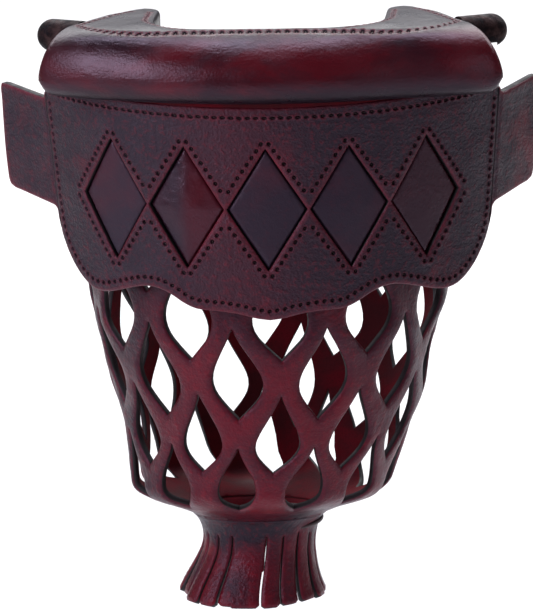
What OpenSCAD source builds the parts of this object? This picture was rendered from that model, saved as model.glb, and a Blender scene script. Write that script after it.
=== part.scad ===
// Corner drop pocket for a billiard table: a leather-covered iron horseshoe,
// a sewn shield with two nailing wings, and a slit-leather ball net with a fringe.
// Millimetres. +Z up, +X to the right seen from the front, +Y towards the table.
// The shapes are drawn in the pocket's own layout, which has its zero on the symmetry
// plane, at the shield's front face and the middle of the diamonds. in_row() then moves
// them so that the origin is midway between the two rail bolts, at their seats.

/* [Pad] */
// Width of the padded rail between its front corners
pad_w = 204.4; // [201:0.2:208]
// Height of the top face above the middle of the diamonds
pad_top_z = 80; // [79:0.5:81]
// Radius of the front edge, seen from above
front_r = 163; // [160:1:170]
// How far the roll stands proud of the shield at its middle
roll_proud = 16; // [14:0.5:17]
// Radius of the roll above its widest line
roll_top_r = 20; // [19:0.5:21]
// Radius of the roll below its widest line
roll_bottom_r = 11; // [10:0.5:11]
// Angle between an end face and the front plane
face_angle = 60; // [58:1:62]
// Width of the throat between the two horns
throat_w = 104; // [100:1:106]
// Radius of the throat's two front corners
throat_corner_r = 28; // [26:1:30]
// Radius of the rounded tip of each horn
nose_r = 9; // [8.5:0.1:9.5]
// Thickness of the cover leathers
cover_t = 2.8; // [2.4:0.1:3]
// Thickness of the felt between leather and iron
felt_t = 3.5; // [3:0.1:4]

/* [Iron] */
// Distance between the two rail bolts
bolt_spacing = 190; // [188:1:192]
// Radius of the two lugs
lug_r = 7.5; // [7:0.1:8]
// Radius of each tapped hole
bolt_hole_r = 3.25; // [2.5:0.05:3.5]
// Depth of each tapped hole
bolt_hole_depth = 9; // [7:0.5:9]
// Length of a lug beyond its end face
lug_l = 24; // [22:0.5:26]

/* [Shield] */
// Radius of the shield's front face at the middle of the diamonds
shield_r = 124.6; // [123:0.2:126]
// Half angle of the shield's cone, which widens upwards
shield_flare = 5.57; // [5:0.01:6]
// Thickness of the shield's front leather
shield_t = 3.5; // [3:0.1:3.5]
// Thickness of the backing leather that shows in the diamonds
backing_t = 3; // [2.5:0.1:3]
// Height of the shield's top edge
shield_top_z = 46.3; // [45:0.1:46.5]
// Number of diamonds
diamonds = 5; // [3:2:5]
// Width and pitch of the diamonds
diamond_w = 37.7; // [34:0.1:38.1]
// Height of the diamonds
diamond_h = 57.2; // [50:0.1:58]

/* [Wings] */
// Length of each wing beyond its bend line
wing_l = 31; // [26:0.5:34]
// Angle between the left wing and the front plane
left_wing_angle = 42; // [35:1:60]
// Angle between the right wing and the front plane
right_wing_angle = 58; // [40:1:65]

/* [Net] */
// Outer radius of the net's upper band
net_r = 86; // [84:0.5:86]
// Thickness of the net leather
net_t = 3.5; // [3:0.1:3.5]
// How far the net hangs to the side of the symmetry plane
net_x = -7; // [-7:1:0]
// Number of slits around the net
cells = 12; // [10:1:13]
// Outer radius of the neck
neck_r = 27.6; // [26:0.1:28]
// Radius of the fringe at its lower end
fringe_r = 36; // [32:0.5:40]
// Number of strips in the fringe
fringe_strips = 20; // [16:2:24]
// Width of the cuts between the strips
fringe_cut = 1.4; // [1:0.1:2]

/* [Hidden] */
$fn = 96;

// colours
oxblood = [0.25, 0.05, 0.09];
oxblood_dark = [0.14, 0.04, 0.07];
oxblood_red = [0.38, 0.06, 0.10];
thread_colour = [0.10, 0.02, 0.04];
iron_colour = [0.10, 0.09, 0.09];
felt_colour = [0.45, 0.42, 0.38];
rivet_colour = [0.55, 0.45, 0.25];

// pad, derived
gap = 0.1;                                   // play between layers that only rest on each other
face_n = [sin(face_angle), cos(face_angle)]; // outward normal of the right end face
front_centre_y = front_r - roll_proud;
corner_y = front_centre_y - sqrt(pow(front_r, 2) - pow(pad_w / 2, 2));
face_dist = face_n * [pad_w / 2, corner_y];  // distance of an end face from the layout's zero
pad_mid_z = pad_top_z - roll_top_r;          // height of the roll's widest line
pad_bottom_z = pad_mid_z - roll_bottom_r;
throat_front_y = 14;
throat_corner_x = throat_w / 2 - throat_corner_r;
throat_corner_y = throat_front_y + throat_corner_r;
nose_x = throat_w / 2 + nose_r;
nose_y = (face_dist - nose_r - face_n.x * nose_x) / face_n.y;
iron_inset = cover_t + felt_t;
seam_front_y = 4.5;                          // front seam on the top face
seam_corner_x = 48;
seam_corner_r = 40;
seam_lap = 3.5;                              // leather in front of the front seam
end_seam_inset = 8;
throat_seam_inset = 4;
thread_w = 0.8;
thread_h = 0.6;
reach = 200;                                 // longer than anything it has to cut

// iron, derived
bolt_x = bolt_spacing / 2;
bolt_y = bolt_x * face_n.y / face_n.x;
lug_z = pad_top_z - lug_r - 1;
bolt_seat_z = lug_z - lug_r * 2 / 3;

// shield, derived
apex_d = shield_r / sin(shield_flare);       // slant distance from the cone's apex
backing_depth = shield_t + backing_t;
hanger_t = 2;
hanger_low_z = 24;
hanger_flange_z = shield_top_z + 0.6;
hanger_flange_r = shield_r + 4;
hanger_half_w = 96;
seam_inset = 3.8;                            // shield edge to its border seam
top_seam_z = shield_top_z - 4.6;
diamond_seam = 5.5;                          // diamond seam above and below the diamonds
shield_half_s = 117.3;                       // half width of the flat shield at t = 0
// side edge of the flat shield, which runs towards the cone's apex
function edge_s(t) = shield_half_s * (1 + t / apex_d);
// lower edge of the flat shield, from its middle to its right edge, s across and t up
right_edge = [[0, -51.5], [14, -48.4], [33.5, -47.9], [45.5, -42], [59.5, -38.8], [79.5, -45],
    [92.5, -45.7], [104, -38.3], [113, -25.8], [edge_s(-10), -10], [edge_s(60), 60]];

// wings, derived
bend_play = 1.2;                             // half the gap along the bend line
bend_angle = (shield_half_s + bend_play) / shield_r * 180 / PI;
bend_r = shield_r - shield_t / 2;
wing_root_low = -6;
wing_root_high = 44;
wing_rise = 4.5;                             // how much the wing rises to its outer end
wing_corner_r = 2;

// net, derived: outer profile as [radius, height], from the rim to the neck
net_y = 99;
net_top_z = pad_bottom_z - 0.2;
straps_top_z = -30;
straps_low_z = -62;
net_low_z = -160;
neck_low_z = -170;
roots_low_z = -182;
fringe_low_z = -203;
net_profile = [[net_r, net_top_z], [net_r, -40], [net_r - 1.4, -61], [81.3, -71], [77.5, -85],
    [72.1, -104.5], [65.6, -128.5], [61.1, -145], [59.4, -148.5], [54.8, -152.4],
    [44.3, -157.2], [33, net_low_z]];
flange_w = 8;
flange_back_y = 80;
// rows of slits: height of the centre, height, width, and 0 or 1 for the half-cell stagger
slit_rows = [[13, 40, 27, 1], [-20, 46, 27, 0], [-50, 47, 26, 1], [-80.5, 46, 24, 0],
    [-112.5, 43, 20.5, 1], [-136.5, 37, 17.5, 0]];
slit_phase = -4.5;
lace_r = 1.3;
rivet_shank_r = 1;
rivet_head_r = 2.5;
rivet_head_t = 0.5;
net_rivet_angles = [-50, -40, -30, -18, -6, 6, 50, 57];
shield_rivet_angles = [-40:10:40];

// ---------- placing ----------
module in_row() translate([0, -bolt_y, -bolt_seat_z]) children();

module at_net() translate([net_x, net_y, 0]) children();

// slab of everything between two heights
module slab(low, high) translate([-reach, -reach, low]) cube([2 * reach, 2 * reach, high - low]);

// ---------- pad outlines ----------
// a point at height y on the line that lies dist from the layout's zero, along an end face
function on_face(dist, y) = [(dist - face_n.y * y) / face_n.x, y];
function mirrored(points) = [for (i = [len(points) - 1:-1:0]) [-points[i].x, points[i].y]];

module throat_plan(grow = 0) {
    for (side = [-1, 1])
        translate([side * throat_corner_x, throat_corner_y]) circle(throat_corner_r + grow);
    translate([-throat_corner_x, throat_front_y - grow])
        square([2 * throat_corner_x, throat_corner_r + grow]);
    translate([-throat_w / 2 - grow, throat_corner_y]) square([throat_w + 2 * grow, reach]);
}

module pad_plan(inset = 0) {
    nose = [nose_x, nose_y];
    right = [on_face(face_dist - inset, -60), nose + face_n * (nose_r - inset), nose];
    difference() {
        union() {
            intersection() {
                translate([0, front_centre_y]) circle(front_r - inset);
                polygon(concat(right, mirrored(right)));
            }
            for (side = [-1, 1]) translate([side * nose_x, nose_y]) circle(nose_r - inset);
        }
        throat_plan(inset);
    }
}

// strip of the plan along the right end face, between two insets
module face_strip(from, to) {
    nose = [nose_x, nose_y];
    polygon([on_face(face_dist - from, -60), nose + face_n * (nose_r - from),
        nose + face_n * (nose_r - to), on_face(face_dist - to, -60)]);
}

module roll_profile(inset) {
    top_r = roll_top_r - inset;
    bottom_r = roll_bottom_r - inset;
    out_r = front_r - inset;
    translate([0, pad_mid_z]) square([out_r - top_r, top_r]);
    translate([0, pad_mid_z - bottom_r]) square([out_r - bottom_r, bottom_r]);
    intersection() {
        translate([out_r - top_r, pad_mid_z]) circle(top_r);
        translate([out_r - top_r, pad_mid_z]) square(top_r);
    }
    intersection() {
        translate([out_r - bottom_r, pad_mid_z]) circle(bottom_r);
        translate([out_r - bottom_r, pad_mid_z - bottom_r]) square(bottom_r);
    }
}

// the whole pad, shrunk by inset on every face
module pad_body(inset = 0) intersection() {
    translate([0, front_centre_y, 0]) rotate_extrude($fn = 240) roll_profile(inset);
    translate([0, 0, pad_bottom_z - 1]) linear_extrude(pad_top_z - pad_bottom_z + 2) pad_plan(inset);
}

// everything behind the front seam, grown by grow
module seam_plan(grow = 0) {
    r = seam_corner_r + grow;
    y = seam_front_y + seam_corner_r;
    for (side = [-1, 1]) translate([side * seam_corner_x, y]) circle(r);
    translate([-seam_corner_x, seam_front_y - grow]) square([2 * seam_corner_x, reach]);
    translate([-seam_corner_x - r, y]) square([2 * (seam_corner_x + r), reach]);
}

// everything that the top leather may cover
module top_plan() intersection() {
    seam_plan(seam_lap);
    translate([0, front_centre_y]) circle(front_r - roll_top_r + 2);
}

module lugs(grow = 0) for (side = [-1, 1]) {
    turn = atan2(face_n.y, face_n.x);
    mirror([side < 0 ? 1 : 0, 0, 0]) rotate([0, 0, turn]) translate([0, 0, lug_z]) {
        start = face_dist - iron_inset - 12;
        length = face_dist + lug_l - lug_r - start;
        translate([start, 0, 0]) rotate([0, 90, 0]) rotate_extrude() lug_profile(lug_r + grow, length);
    }
}

// half section of a lug: a shaft with a domed end
module lug_profile(r, length) {
    square([r, length]);
    translate([0, length]) intersection() {
        circle(r);
        square(r);
    }
}

// ---------- pad pieces ----------
module pocket_iron() color(iron_colour) in_row() difference() {
    union() {
        pad_body(iron_inset);
        difference() {
            lugs();
            translate([0, 0, pad_top_z - cover_t - gap]) linear_extrude(reach) pad_plan(-gap);
        }
    }
    for (side = [-1, 1]) translate([side * bolt_x, bolt_y, bolt_seat_z]) {
        cylinder(r = bolt_hole_r, h = bolt_hole_depth);
        translate([-lug_r, -lug_r, -lug_r]) cube([2 * lug_r, 2 * lug_r, lug_r]);
    }
}

module felt_wrap() color(felt_colour) in_row() difference() {
    pad_body(cover_t + gap);
    pad_body(iron_inset - gap);
    lugs(gap);
}

module top_leather() color(oxblood) in_row()
    translate([0, 0, pad_top_z - cover_t]) linear_extrude(cover_t) intersection() {
        pad_plan();
        top_plan();
    }

module roll_leather() color(oxblood_red) in_row() difference() {
    intersection() {
        translate([0, front_centre_y, 0]) rotate_extrude($fn = 240) difference() {
            roll_profile(0);
            roll_profile(cover_t);
            square([front_r - roll_bottom_r - 1, pad_mid_z]);
        }
        linear_extrude(reach) difference() {
            pad_plan();
            face_strip(-1, cover_t);
            mirror([1, 0]) face_strip(-1, cover_t);
            throat_plan(cover_t);
            for (side = [-1, 1]) translate([side * nose_x, nose_y]) circle(nose_r + 1);
        }
    }
    translate([0, 0, pad_top_z - cover_t]) linear_extrude(reach) top_plan();
}

module flat_bottom() intersection() {
    pad_plan();
    translate([0, front_centre_y]) circle(front_r - roll_bottom_r - 1);
}

module underside_leather() color(oxblood_dark) in_row()
    translate([0, 0, pad_bottom_z]) linear_extrude(cover_t) flat_bottom();

module end_leather() intersection() {
    difference() {
        translate([0, 0, pad_bottom_z]) linear_extrude(roll_top_r + roll_bottom_r) intersection() {
            pad_plan();
            face_strip(0, cover_t);
        }
        lugs(gap);
        translate([0, 0, pad_bottom_z - 1]) linear_extrude(cover_t + 1) flat_bottom();
        translate([0, 0, pad_top_z - cover_t]) linear_extrude(reach) top_plan();
    }
    pad_body();
}

module right_end_leather() color(oxblood_dark) in_row() end_leather();

module left_end_leather() color(oxblood_dark) in_row() mirror([1, 0, 0]) end_leather();

module throat_liner() color(oxblood_dark) in_row()
    translate([0, 0, pad_bottom_z + cover_t])
        linear_extrude(pad_top_z - pad_bottom_z - 2 * cover_t) difference() {
            intersection() {
                pad_plan();
                union() {
                    throat_plan(cover_t);
                    for (side = [-1, 1]) translate([side * nose_x, nose_y]) circle(nose_r);
                }
            }
            pad_plan(cover_t);
            face_strip(-1, cover_t);
            mirror([1, 0]) face_strip(-1, cover_t);
        }

module top_thread() color(thread_colour) in_row()
    translate([0, 0, pad_top_z]) linear_extrude(thread_h) children();

module stitching_front() top_thread() intersection() {
    difference() {
        seam_plan(thread_w / 2);
        seam_plan(-thread_w / 2);
    }
    pad_plan(end_seam_inset + thread_w);
}

module stitching_ends() top_thread() for (side = [0, 1]) mirror([side, 0]) intersection() {
    face_strip(end_seam_inset - thread_w / 2, end_seam_inset + thread_w / 2);
    seam_plan(thread_w / 2);
}

module stitching_throat() top_thread() intersection() {
    difference() {
        pad_plan(throat_seam_inset - thread_w / 2);
        pad_plan(throat_seam_inset + thread_w / 2);
    }
    throat_plan(throat_seam_inset + thread_w);
    translate([-reach, throat_front_y]) square([2 * reach, nose_y - throat_front_y]);
}

// ---------- shield ----------
// the flat shield's point (s, t) as [x, z] on the cone
function on_cone(p) = let(
    d = norm([p[0], apex_d + p[1]]),
    turn = atan2(p[0], apex_d + p[1]) / sin(shield_flare)
) [d * sin(shield_flare) * sin(turn), (d - apex_d) * cos(shield_flare)];

// inner radius of the hanger at height z
function hanger_radius(z) = shield_r + z * tan(shield_flare) - backing_depth - hanger_t;

// a line with its corners cut back, for a smooth edge
function cut_corners(line, times) = times == 0 ? line : cut_corners(concat([line[0]],
    [for (i = [0:len(line) - 2]) each [line[i] * 0.75 + line[i + 1] * 0.25,
        line[i] * 0.25 + line[i + 1] * 0.75]], [line[len(line) - 1]]), times - 1);

// unit normal of a line at its point i, to the left of its direction
function normal_at(line, i) = let(
    a = line[max(i - 1, 0)],
    b = line[min(i + 1, len(line) - 1)],
    along = (b - a) / norm(b - a)
) [-along.y, along.x];

function shifted(line, by) = [for (i = [0:len(line) - 1]) line[i] + by * normal_at(line, i)];

half_edge = cut_corners(right_edge, 1);
shield_edge = concat(mirrored(half_edge), [for (i = [1:len(half_edge) - 1]) half_edge[i]]);

// part of the cone behind an outline, between two depths below the front face
module on_shield(depth_from, depth_to) intersection() {
    translate([0, shield_r, 0]) rotate_extrude($fn = 240) polygon([
        for (end = [[-80, depth_from], [80, depth_from], [80, depth_to], [-80, depth_to]])
            [shield_r + end[0] * tan(shield_flare) - end[1], end[0]]]);
    translate([0, shield_r, 0]) rotate([90, 0, 0]) linear_extrude(reach) children();
}

module diamond(i) {
    half = diamond_w / 2 - 0.6;
    polygon([for (p = [[-half, 0], [0, diamond_h / 2], [half, 0], [0, -diamond_h / 2]])
        on_cone(p + [i * diamond_w, 0])]);
}

module all_diamonds() for (i = [-(diamonds - 1) / 2:(diamonds - 1) / 2]) diamond(i);

module shield_outline(inset, top_z) intersection() {
    polygon([for (p = shifted(shield_edge, inset)) on_cone(p)]);
    translate([-reach, -reach]) square([2 * reach, reach + top_z]);
}

// everything between the two bend lines, less an inset along the shield
module between_bends(inset) difference() {
    slab(-80, 80);
    for (side = [0, 1]) mirror([side, 0, 0]) at_bend(bend_angle)
        translate([-inset, -reach, -reach]) cube(2 * reach);
}

module shield_front() color(oxblood) in_row() intersection() {
    on_shield(0, shield_t) difference() {
        shield_outline(0, shield_top_z);
        all_diamonds();
    }
    between_bends(bend_play + 0.5);
}

module shield_backing() color(oxblood_dark) in_row() intersection() {
    on_shield(shield_t, backing_depth) shield_outline(2, shield_top_z - 1);
    between_bends(bend_play + 2);
}

// a strip behind the backing whose top edge is turned out under the pad
module shield_hanger() color(oxblood_dark) in_row() intersection() {
    translate([0, shield_r, 0]) rotate_extrude($fn = 240) polygon([
        [hanger_radius(hanger_low_z) + hanger_t, hanger_low_z],
        [hanger_radius(hanger_flange_z) + hanger_t, hanger_flange_z],
        [hanger_flange_r, hanger_flange_z],
        [hanger_flange_r, pad_bottom_z],
        [hanger_radius(pad_bottom_z), pad_bottom_z],
        [hanger_radius(hanger_low_z), hanger_low_z]]);
    translate([-hanger_half_w, -reach, -reach]) cube([2 * hanger_half_w, reach + shield_r, 2 * reach]);
}

module rivets(centre, radius, angles, low) translate(centre) for (a = angles)
    rotate([0, 0, a]) translate([0, -radius, low - rivet_head_t]) {
        cylinder(r = rivet_head_r, h = rivet_head_t, $fn = 32);
        cylinder(r = rivet_shank_r, h = pad_bottom_z + cover_t - low + rivet_head_t, $fn = 32);
    }

module shield_rivets() color(rivet_colour) in_row()
    rivets([0, shield_r, 0], hanger_flange_r - rivet_head_r, shield_rivet_angles, hanger_flange_z);

module stitching_shield_top() color(thread_colour) in_row() on_shield(-thread_h, 0) intersection() {
    shield_outline(1, shield_top_z);
    translate([-reach, top_seam_z - thread_w / 2]) square([2 * reach, thread_w]);
}

module stitching_border() color(thread_colour) in_row() on_shield(-thread_h, 0) difference() {
    shield_outline(seam_inset - thread_w / 2, top_seam_z - 2);
    shield_outline(seam_inset + thread_w / 2, shield_top_z);
}

// zigzag outline that stands off the row of diamonds by off, up and down
module zigzag(off) {
    half = (diamonds - 1) / 2;
    top = [for (i = [-half:half]) each [[i * diamond_w, diamond_h / 2 + off],
        [(i + 0.5) * diamond_w, i == half ? 0 : off]]];
    end = (half + 0.5) * diamond_w + off * 0.65;
    upper = concat([[-end, 0]], [for (i = [0:len(top) - 2]) top[i]], [[end, 0]]);
    lower = [for (i = [len(upper) - 2:-1:1]) [upper[i][0], -upper[i][1]]];
    polygon([for (p = concat(upper, lower)) on_cone(p)]);
}

module stitching_diamonds() color(thread_colour) in_row() on_shield(-thread_h, 0) difference() {
    zigzag(diamond_seam + thread_w / 2);
    zigzag(diamond_seam - thread_w / 2);
}

// ---------- wings ----------
// a place on the right bend line: local X along a leaf that leaves it at an angle, Y up
module at_bend(angle) translate([bend_r * sin(bend_angle), shield_r - bend_r * cos(bend_angle), 0])
    rotate([0, 0, angle]) rotate([90 + shield_flare, 0, 0]) children();

module wing(angle) at_bend(angle) translate([0, 0, -shield_t / 2]) linear_extrude(shield_t) {
    low = [[bend_play, wing_root_low], [wing_l - wing_corner_r, wing_root_low + wing_rise]];
    high = [[wing_l - wing_corner_r, wing_root_high + wing_rise], [bend_play, wing_root_high]];
    polygon(concat(low, high));
    translate([wing_l - wing_corner_r, 0]) {
        translate([0, low[1].y + wing_corner_r])
            square([wing_corner_r, high[0].y - low[1].y - 2 * wing_corner_r]);
        for (z = [low[1].y + wing_corner_r, high[0].y - wing_corner_r])
            translate([0, z]) circle(wing_corner_r);
    }
}

module left_wing() color(oxblood) in_row() mirror([1, 0, 0]) wing(left_wing_angle);

module right_wing() color(oxblood) in_row() wing(right_wing_angle);

// ---------- net ----------
// step from the net's outer face to its inner face at profile point i
function inward(i) = i == 0 ? [-net_t, 0]
    : i == len(net_profile) - 1 ? [0, net_t]
    : net_t * normal_at(net_profile, i) * -1;

module net_shell() rotate_extrude($fn = 96) polygon(concat(net_profile,
    [for (i = [len(net_profile) - 1:-1:0]) net_profile[i] + inward(i)]));

// a lens with pointed ends
module slit(height, width) {
    r = (pow(height, 2) + pow(width, 2)) / (4 * width);
    intersection() {
        translate([r - width / 2, 0]) circle(r, $fn = 64);
        translate([width / 2 - r, 0]) circle(r, $fn = 64);
    }
}

// the net between two heights, with its slits
module net_part(low, high) at_net() difference() {
    intersection() {
        net_shell();
        slab(low, high);
    }
    for (row = slit_rows) if (row[0] - row[1] / 2 < high && row[0] + row[1] / 2 > low)
        for (i = [0:cells - 1])
            rotate([0, 0, slit_phase + (i + row[3] / 2) * 360 / cells])
                translate([0, 0, row[0]]) rotate([90, 0, 0]) translate([0, 0, neck_r + 2])
                    linear_extrude(reach) slit(row[1], row[2]);
}

module net_band() color(oxblood) in_row() {
    net_part(straps_top_z, net_top_z);
    translate([0, 0, net_top_z - net_t]) linear_extrude(net_t) intersection() {
        pad_plan(1);
        translate([net_x, net_y]) difference() {
            circle(net_r + flange_w);
            circle(net_r - 1);
        }
        translate([-reach, -reach]) square([2 * reach, reach + flange_back_y]);
    }
}

module net_straps() color(oxblood_red) in_row()
    net_part(straps_low_z + gap, straps_top_z - gap);

module net_basket() color(oxblood_red) in_row() net_part(net_low_z, straps_low_z);

module net_neck() color(oxblood) in_row() at_net() rotate_extrude() polygon([
    [33, net_low_z - gap], [neck_r + 1, net_low_z - 3.5], [neck_r, neck_low_z],
    [neck_r - net_t, neck_low_z], [neck_r - net_t + 1, net_low_z - 3.5],
    [30 - net_t, net_low_z - gap]]);

module neck_lace() color(thread_colour) in_row() at_net()
    translate([0, 0, neck_low_z + 3]) rotate_extrude() translate([neck_r - net_t - lace_r - gap, 0])
        circle(lace_r);

module net_rivets() color(rivet_colour) in_row()
    rivets([net_x, net_y, 0], net_r + flange_w / 2 - 1, net_rivet_angles, net_top_z - net_t);

// ---------- fringe ----------
function fringe_radius(z) = neck_r + (fringe_r - neck_r) * (neck_low_z - z) / (neck_low_z - fringe_low_z);

module strips(low, high) at_net() difference() {
    rotate_extrude() polygon([[fringe_radius(high), high], [fringe_radius(low), low],
        [fringe_radius(low) - net_t, low], [fringe_radius(high) - net_t, high]]);
    for (i = [0:fringe_strips - 1]) rotate([0, 0, slit_phase + (i + 0.5) * 360 / fringe_strips])
        translate([-fringe_cut / 2, -reach, low - 1]) cube([fringe_cut, reach, high - low + 2]);
}

module fringe_roots() color(oxblood_red) in_row() strips(roots_low_z + gap, neck_low_z - gap);

module fringe() color(oxblood_red) in_row() strips(fringe_low_z, roots_low_z);

pocket_iron();
felt_wrap();
roll_leather();
top_leather();
throat_liner();
underside_leather();
left_end_leather();
right_end_leather();
stitching_front();
stitching_ends();
stitching_throat();
shield_front();
shield_backing();
shield_hanger();
shield_rivets();
stitching_shield_top();
stitching_border();
stitching_diamonds();
left_wing();
right_wing();
net_band();
net_straps();
net_basket();
net_neck();
neck_lace();
net_rivets();
fringe_roots();
fringe();
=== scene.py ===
"""Looks for a leather corner drop pocket: pad, shield with wings, slit net and fringe.

Shapes are drawn in the pocket's layout, in millimetres: x = 0 on the symmetry plane, y = 0 at
the shield's front face, z = 0 at the middle of the diamonds. row() turns them into the frame.
"""

import math

import bpy
import numpy as np
from mathutils import Matrix, Vector, noise
from mathutils.geometry import delaunay_2d_cdt


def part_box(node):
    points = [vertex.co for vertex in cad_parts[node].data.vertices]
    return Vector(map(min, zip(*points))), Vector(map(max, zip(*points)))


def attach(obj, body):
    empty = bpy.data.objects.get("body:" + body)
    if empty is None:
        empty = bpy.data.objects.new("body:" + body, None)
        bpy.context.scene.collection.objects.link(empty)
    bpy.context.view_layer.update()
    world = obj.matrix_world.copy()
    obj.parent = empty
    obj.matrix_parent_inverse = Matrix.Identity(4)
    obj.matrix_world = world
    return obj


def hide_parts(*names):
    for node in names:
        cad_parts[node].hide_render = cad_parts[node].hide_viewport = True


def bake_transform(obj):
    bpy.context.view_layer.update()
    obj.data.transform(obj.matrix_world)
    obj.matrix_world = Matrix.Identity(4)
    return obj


MM = 0.001

# pad
FRONT_R = 163.0
FRONT_CENTRE_Y = 147.0
CORNER_ANGLE = math.asin(102.2 / FRONT_R)
FACE_NORMAL = (math.sin(math.radians(60)), math.cos(math.radians(60)))
FACE_DIST = 98.5
PAD_TOP = 80.0
PAD_LOW = 49.0
UNDER_R = 11.0
WIDEST_Z = 60.0
SEAM_Y = 6.3
CREST = 4.0
SEAM_X = 48.0
SEAM_R = 40.0
THROAT_X = 24.0
THROAT_Y = 42.0
THROAT_R = 28.0
NOSE = (61.0, 73.3)
NOSE_R = 9.0
PAD_PITCH = 4.2

# shield
SHIELD_R = 124.6
FLARE = math.radians(5.57)
APEX = SHIELD_R / math.sin(FLARE)
SHIELD_T = 3.5
BACKING_T = 3.0
SHIELD_TOP = 47.2
SPLIT_S = 115.6
BEND_S = 118.5
BORDER_S = 112.9
AWL_PITCH = 3.62
AWL_SIZE = (1.16, 0.98)
TOP_ROW = SHIELD_TOP - 4.6
DIAMOND_W = 37.7
DIAMOND_H = 57.2
DIAMONDS = 5
MIDDLE_OUT = range(-2, 3)

# wings
BEND_ANGLE = BEND_S / SHIELD_R
BEND_R = SHIELD_R - SHIELD_T / 2
WING_ANGLES = {"left": math.radians(42), "right": math.radians(58)}

# net
NET_X = -7.0
NET_Y = 99.0
NET_T = 3.5
FAR_TWIST = math.radians(14)
CELLS = 12
PHASE = math.radians(-7.5)
NET_PROFILE = [
    (86, 48.8), (86, 0), (86, -40), (84.6, -61), (81.3, -71), (77.5, -85), (72.1, -104.5),
    (65.8, -128.5), (62.4, -143), (61.5, -149), (57.5, -153.5), (49, -157), (39, -160), (30.5, -164),
    (27.2, -170.5), (26.6, -178.5),
]
NECK_LINE = -164.0
# rows of slits: height of the upper tip, of the lower tip, width, stagger in cells, and how low they bulge
SLIT_ROWS = [
    (33, -7, 26.5, 0.5, 0.0),
    (3, -43, 26.5, 0.0, 0.05),
    (-26.5, -73.5, 26, 0.5, 0.1),
    (-57.5, -103.5, 24, 0.0, 0.12),
    (-91, -134, 21, 0.5, 0.12),
    (-118, -156.5, 18.5, 0.0, 0.15),
]

# fringe
STRIPS = 20
ROOT_Z = -171.0
TIP_Z = -202.0


# ---------- numbers ----------
def part(x, low, high):
    """0 below low, 1 above high, and straight between them."""
    return np.clip((np.asarray(x, float) - low) / (high - low), 0, 1)


def smooth(low, high, x):
    """0 below low, 1 above high, and a smooth step between them."""
    t = part(x, low, high)
    return t * t * (3 - 2 * t)


def bell(x, width):
    return np.exp(-((np.asarray(x, float) / width) ** 2))


def rough(points, size, seed):
    """Smooth noise from -1 to 1 at each point, with lumps about size wide."""
    shift = Vector((seed * 7.3, seed * 3.1, seed * 5.7))
    return np.array([noise.noise(Vector(p) / size + shift) for p in points])


def hashed(i, seed):
    """A fixed number from -1 to 1 for item i."""
    return noise.noise(Vector((i * 1.37 + seed * 9.1, seed * 4.3 + 0.5, i * 0.71)))


def inside(points, loop):
    """Which flat points lie inside a closed loop."""
    x, y = points[:, 0], points[:, 1]
    a = np.asarray(loop, float)
    b = np.roll(a, -1, axis=0)
    found = np.zeros(len(points), bool)
    for (ax, ay), (bx, by) in zip(a, b):
        if ay == by:
            continue
        crosses = (ay > y) != (by > y)
        found ^= crosses & (x < (bx - ax) * (y - ay) / (by - ay) + ax)
    return found


def within(points, outline, holes=()):
    """Which flat points lie inside an outline and in none of its holes."""
    keep = inside(points, outline)
    for hole in holes:
        keep &= ~inside(points, hole)
    return keep


def distance(points, loops, closed=True):
    """Distance of each flat point from the nearest of the loops."""
    best = np.full(len(points), 1e9)
    for loop in loops:
        a = np.asarray(loop, float)
        b = np.roll(a, -1, axis=0)
        if not closed:
            a, b = a[:-1], b[:-1]
        for p, q in zip(a, b):
            d = q - p
            length = max(float(d @ d), 1e-12)
            t = np.clip(((points - p) @ d) / length, 0, 1)
            gap = points - p - t[:, None] * d
            best = np.minimum(best, np.einsum("ij,ij->i", gap, gap))
    return np.sqrt(best)


def lengths(line):
    line = np.asarray(line, float)
    return np.concatenate([[0], np.cumsum(np.linalg.norm(np.diff(line, axis=0), axis=1))])


def along(line, wanted):
    """Points of a polyline at the wanted distances from its start."""
    line = np.asarray(line, float)
    s = lengths(line)
    return np.stack([np.interp(wanted, s, line[:, k]) for k in range(line.shape[1])], axis=1)


def spaced(line, pitch):
    """A polyline again, with points about pitch apart."""
    total = lengths(line)[-1]
    return along(line, np.linspace(0, total, max(2, round(total / pitch) + 1)))


def cut_corners(line, times):
    line = np.asarray(line, float)
    for _ in range(times):
        near = line[:-1] * 0.75 + line[1:] * 0.25
        far = line[:-1] * 0.25 + line[1:] * 0.75
        mid = np.stack([near, far], axis=1).reshape(-1, line.shape[1])
        line = np.concatenate([line[:1], mid, line[-1:]])
    return line


def unit(vectors):
    return vectors / np.linalg.norm(vectors, axis=1)[:, None]


def shifted(line, by):
    """A polyline moved sideways, to the left of its direction."""
    line = np.asarray(line, float)
    d = unit(np.gradient(line, axis=0))
    return line + by * np.stack([-d[:, 1], d[:, 0]], axis=1)


def both_sides(right):
    """The right half of a line with its mirror image, from left to right."""
    right = np.asarray(right, float)
    return np.concatenate([right[::-1] * (-1, 1), right[1:]])


def rounded(gap, drop, width, power=1.5):
    """How deep a cut edge's rounding lies at a distance of gap from the edge."""
    return drop * np.clip(1 - gap / width, 0, 1) ** power


# ---------- meshes ----------
def row(points):
    """Layout millimetres to the frame's metres."""
    return np.asarray(points, float) * MM + LAYOUT_ZERO


def make_mesh(name, points, faces, materials, which=None, values=None):
    mesh = bpy.data.meshes.new(name)
    mesh.from_pydata([tuple(p) for p in row(points)], [], [tuple(int(i) for i in f) for f in faces])
    for material in materials:
        mesh.materials.append(material)
    if which is not None:
        mesh.polygons.foreach_set("material_index", np.asarray(which, np.int32))
    for key, value in (values or {}).items():
        attribute = mesh.attributes.new(key, "FLOAT", "POINT")
        attribute.data.foreach_set("value", np.asarray(value, np.float32))
    mesh.polygons.foreach_set("use_smooth", [True] * len(mesh.polygons))
    mesh.validate()
    mesh.update()
    piece = bpy.data.objects.new(name, mesh)
    bpy.context.scene.collection.objects.link(piece)
    return piece


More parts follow.
